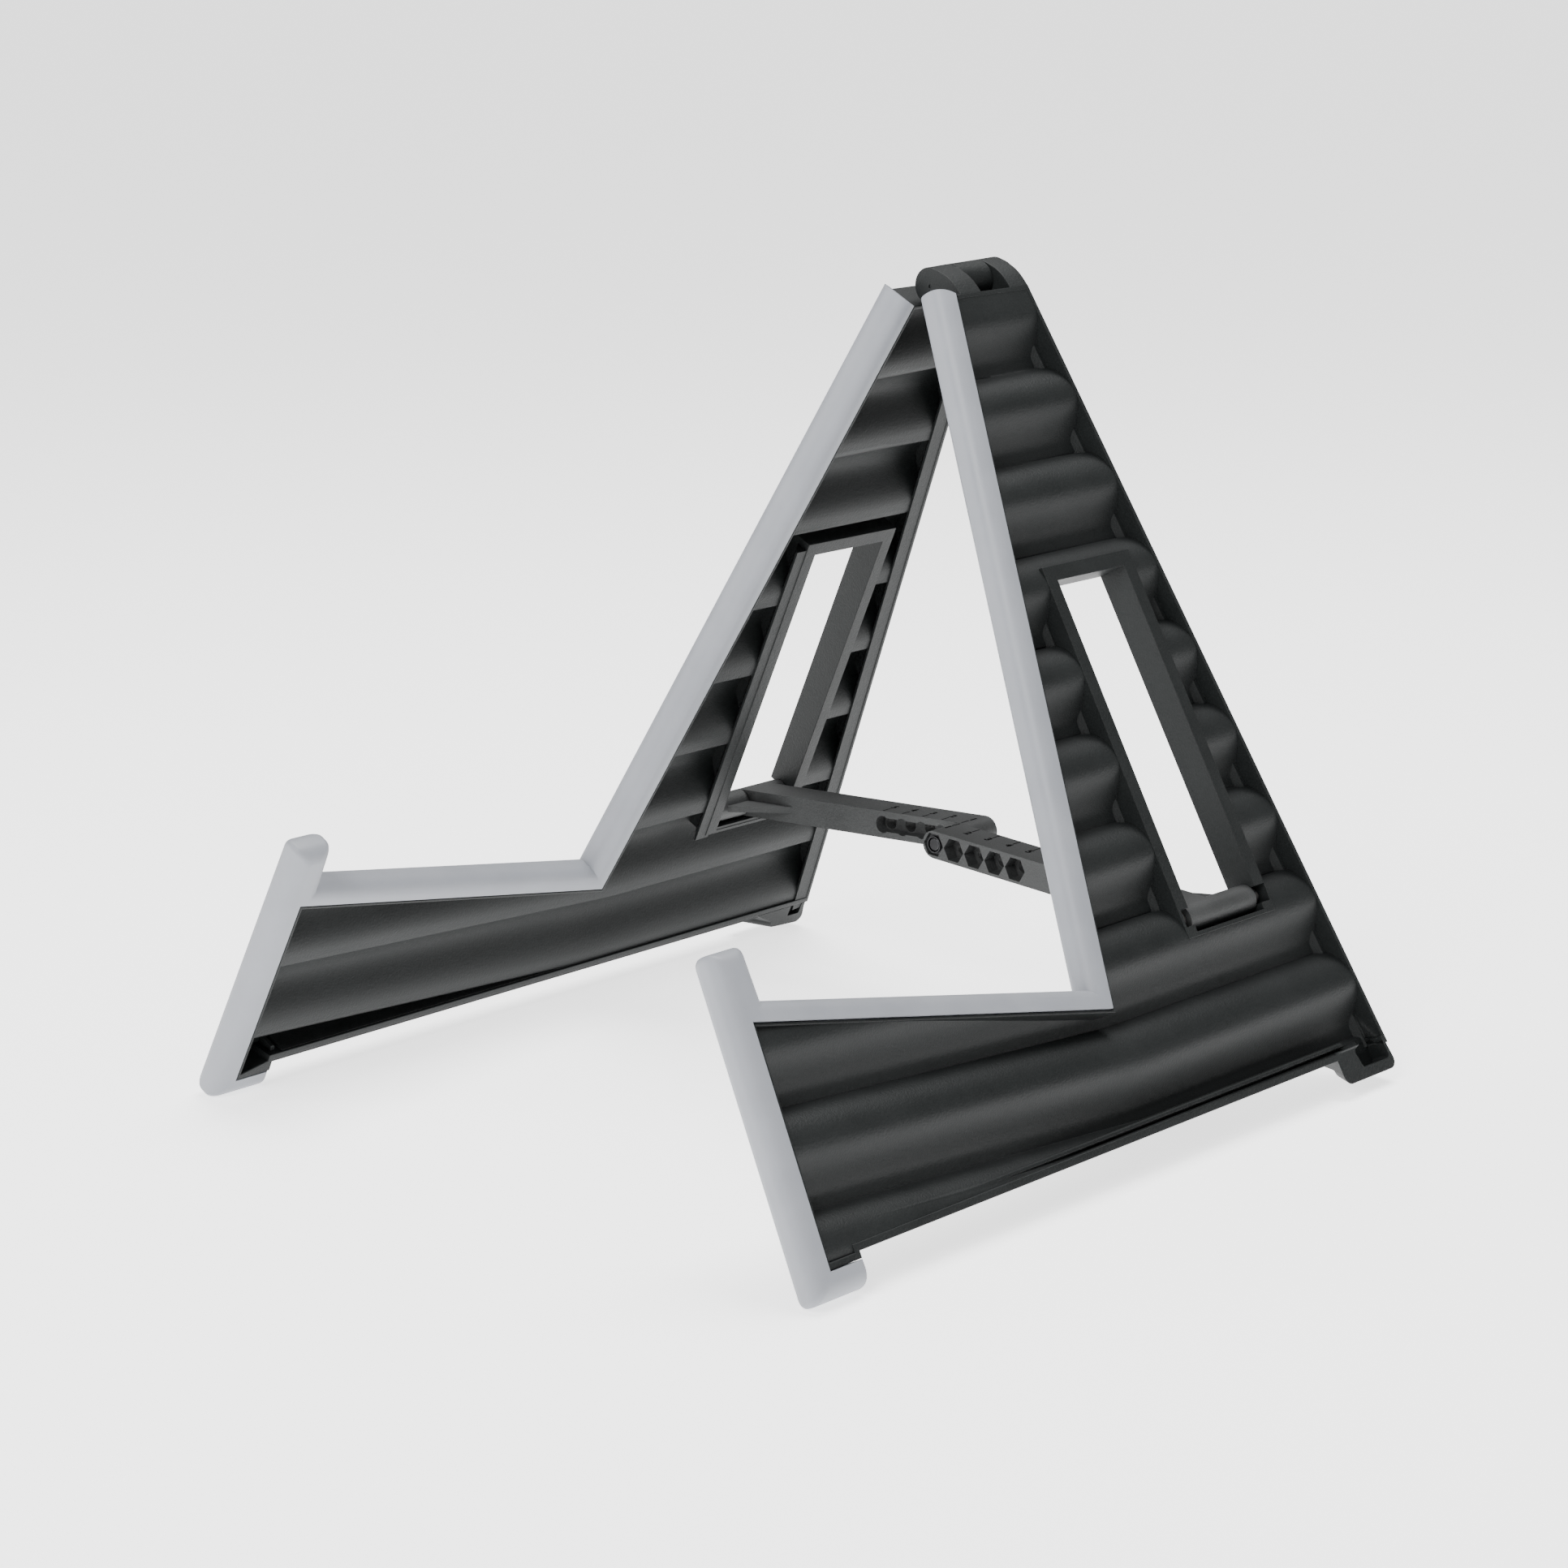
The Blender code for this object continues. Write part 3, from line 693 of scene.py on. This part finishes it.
def edging(side, label):
    edge = [UPRIGHT_TOP, REST_BACK, REST_FRONT, FRONT_FOOT]
    near = [offset_line(a, b, EDGING_GAP) for a, b in zip(edge, edge[1:])]
    far = [offset_line(a, b, EDGING_DEPTH) for a, b in zip(edge, edge[1:])]
    foot_top = FRONT_FOOT[1] + EDGING_GAP
    sole_line = level_line(SOFT_SOLE)
    top = (Vector(UPRIGHT_TOP), Vector(UPRIGHT_TOP) + Vector((-7.7, -3.9)))
    hook_line = (Vector((HOOK_INSIDE, 0)), Vector((HOOK_INSIDE, 1)))
    inner = [
        crossing(top, near[0]),
        crossing(near[0], near[1]),
        crossing(near[1], near[2]),
        crossing(near[2], level_line(foot_top)),
        (HEEL_U, foot_top),
    ]
    outer = [
        (HEEL_U, SOFT_SOLE),
        crossing(far[2], sole_line),
        crossing(far[2], level_line(HOOK_TOP)),
        (HOOK_INSIDE, HOOK_TOP),
        crossing(hook_line, far[1]),
        crossing(far[0], far[1]),
        crossing(top, far[0]),
    ]
    strip = slab("strip", [inner + outer], EDGING_INNER, EDGING_OUTER)

    def on_crown(point):
        return any(math.hypot(point.y - u, -point.z - v) < 0.05 for u, v in outer)

    bevel_edges(strip, lambda a, b: abs(a.x - b.x) < 0.01 and on_crown(a) and on_crown(b),
                EDGING_CROWN, 8, clamp=False)
    weld(strip, 0.02)

    def on_ridge(a, b):
        near_corner = any(math.hypot(a.y - u, -a.z - v) < 7.5 for u, v in outer[:4])
        return (a - b).length < 4 and near_corner

    bevel_edges(strip, on_ridge, 1.7, 3, sharp=14, clamp=False)
    weld(strip, 0.01)
    bevel_edges(strip, lambda a, b: (a - b).length > 4, 0.3, 2, sharp=50)
    place(strip, side, label + "_cushion_strip", label + "_frame", label + "_edging")
    return finished(strip, RUBBER, 32)


edging(1, "right")
edging(-1, "left")


# ---------------------------------------------------------------- spreader arms and hardware

def refined(node, name, body, finish, width, segments=2, degrees=40):
    """A cleaned copy of a plain part with its sharp edges broken, in that part's place."""
    source = frame["nodes"][node]
    copy = source.copy()
    copy.data = source.data.copy()
    copy.data.materials.clear()
    bpy.context.scene.collection.objects.link(copy)
    copy.parent = None
    copy.matrix_world = source.matrix_world
    copy.name = name
    weld(copy, 0.01)
    flatten(copy, 0.5)
    apply(copy, "BEVEL", width=width * MM, segments=segments, limit_method="ANGLE",
          angle_limit=math.radians(degrees), use_clamp_overlap=True)
    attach(copy, body)
    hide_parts(node)
    return finished(copy, finish, 35)


def arm_point(side, along, across, up):
    """World place, in metres, of a point along an arm from its pivot, across it and above it."""
    pivot_x = side * (PIVOT_V * SINE + PIVOT_W * COSINE)
    pivot_z = HINGE_HEIGHT - PIVOT_V * COSINE + PIVOT_W * SINE
    x = along * math.cos(ARM_RISE) - up * math.sin(ARM_RISE)
    z = along * math.sin(ARM_RISE) + up * math.cos(ARM_RISE)
    return Vector((pivot_x - side * x, across - MIDDLE_U, pivot_z + z)) * MM


def scale_marks(side, label):
    """The ticks and numbers along the top of an arm, one over each hole."""
    pieces = []
    inner = -22.9 if side > 0 else -22.3
    way = -1 if side > 0 else 1
    turn = Matrix.Rotation(side * ARM_RISE, 4, "Y")
    for number in range(HOLES):
        along = ARM_LENGTH - number * HOLE_PITCH
        bpy.ops.mesh.primitive_cube_add(size=1, scale=(0.45 * MM, 4.2 * MM, 0.12 * MM))
        tick = settle(bpy.context.object)
        tick.matrix_world = Matrix.Translation(
            arm_point(side, along, inner + way * 2.6, ARM_HALF)) @ turn
        settle(tick)
        bpy.ops.object.text_add()
        digit = bpy.context.object
        digit.data.body = str(number + 1)
        digit.data.size = 4.6 * MM
        digit.data.align_x = "CENTER"
        digit.data.align_y = "CENTER"
        digit.data.extrude = 0.06 * MM
        digit.data.offset = 0.14 * MM
        bpy.ops.object.convert(target="MESH")
        digit = bpy.context.object
        digit.matrix_world = Matrix.Translation(
            arm_point(side, along, inner + way * 7.2, ARM_HALF)) @ turn
        settle(digit)
        pieces += [tick, digit]
    choose(*pieces)
    bpy.ops.object.join()
    marks = bpy.context.object
    marks.name = label + "_arm_scale_marks"
    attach(marks, label + "_spreader")
    return finished(marks, ENGRAVING, 30)


for side, label in ((1, "right"), (-1, "left")):
    refined(label + "_arm", "moulded_" + label + "_arm", label + "_spreader", ARM_NYLON, 0.45, 3)
    scale_marks(side, label)
    refined(label + "_arm_pivot_pin", label + "_pivot_pin", label + "_frame", PIN_STEEL, 0.9, 3)
refined("hinge_pin", "domed_hinge_pin", "left_frame", PIN_STEEL, 0.4, 2)
# The lock nut and the threaded bolt end take the zinc copy with painted pocket shade.
refined("lock_nut", "zinc_lock_nut", "right_spreader", POCKET_SHADED_ZINC, 0.25, 2)
refined("pivot_bolt", "zinc_bolt", "left_spreader", ZINC, 0.3, 2)
refined("pivot_bolt_threaded_end", "threaded_bolt_end", "right_spreader", POCKET_SHADED_ZINC, 0.5, 2)


# ---------------------------------------------------------------- camera, floor and light

def camera():
    made = bpy.data.cameras.new("camera")
    made.sensor_width = 36
    made.lens = CAMERA_LENS
    made.shift_x = CAMERA_SHIFT
    made.clip_end = 20
    obj = bpy.data.objects.new("camera", made)
    bpy.context.scene.collection.objects.link(obj)
    azimuth, elevation, roll = (math.radians(angle) for angle in CAMERA_TURN)
    obj.matrix_world = (
        Matrix.Translation(CAMERA_PLACE)
        @ Matrix.Rotation(azimuth, 4, "Z")
        @ Matrix.Rotation(math.radians(90) - elevation, 4, "X")
        @ Matrix.Rotation(roll, 4, "Z")
    )
    bpy.context.scene.camera = obj


def floor():
    bpy.ops.mesh.primitive_circle_add(vertices=96, radius=18, fill_type="NGON")
    ground = bpy.context.object
    ground.name = "pale_floor"
    finish = Finish("pale_floor", "", Specular_IOR_Level=0.1, Emission_Strength=FLOOR_GLOW)
    finish.shader.inputs["Emission Color"].default_value = (1, 1, 1, 1)
    haze = finish.noise(3, 2)
    finish.feed("Base Color", finish.between((0.86, 0.86, 0.86), (0.9, 0.9, 0.9), haze))
    finish.feed("Roughness", 0.85 + haze * 0.1)
    ground.data.materials.append(finish.material)


def softbox(name, place, aim, size, power):
    made = bpy.data.lights.new(name, "AREA")
    made.shape = "RECTANGLE"
    made.size, made.size_y = size
    made.energy = power
    obj = bpy.data.objects.new(name, made)
    obj.visible_camera = False
    bpy.context.scene.collection.objects.link(obj)
    away = Vector(place) - Vector(aim)
    turn = away.to_track_quat("Z", "Y").to_matrix().to_4x4()
    obj.matrix_world = Matrix.Translation(place) @ turn


def studio():
    world = bpy.data.worlds.new("studio")
    bpy.context.scene.world = world
    world.use_nodes = True
    background = world.node_tree.nodes["Background"]
    background.inputs["Color"].default_value = (1, 1, 1, 1)
    background.inputs["Strength"].default_value = WORLD_GLOW
    softbox("front_key", (0.4, -1.3, 1.25), (0, 0, 0.15), (0.8, 0.8), 30)
    softbox("overhead", (-0.1, 0.35, 1.5), (0, 0, 0.1), (1.0, 0.8), 34)
    softbox("front_left", (-1.25, -1.3, 0.55), (0, 0, 0.15), (0.4, 0.8), 10)


camera()
floor()
studio()
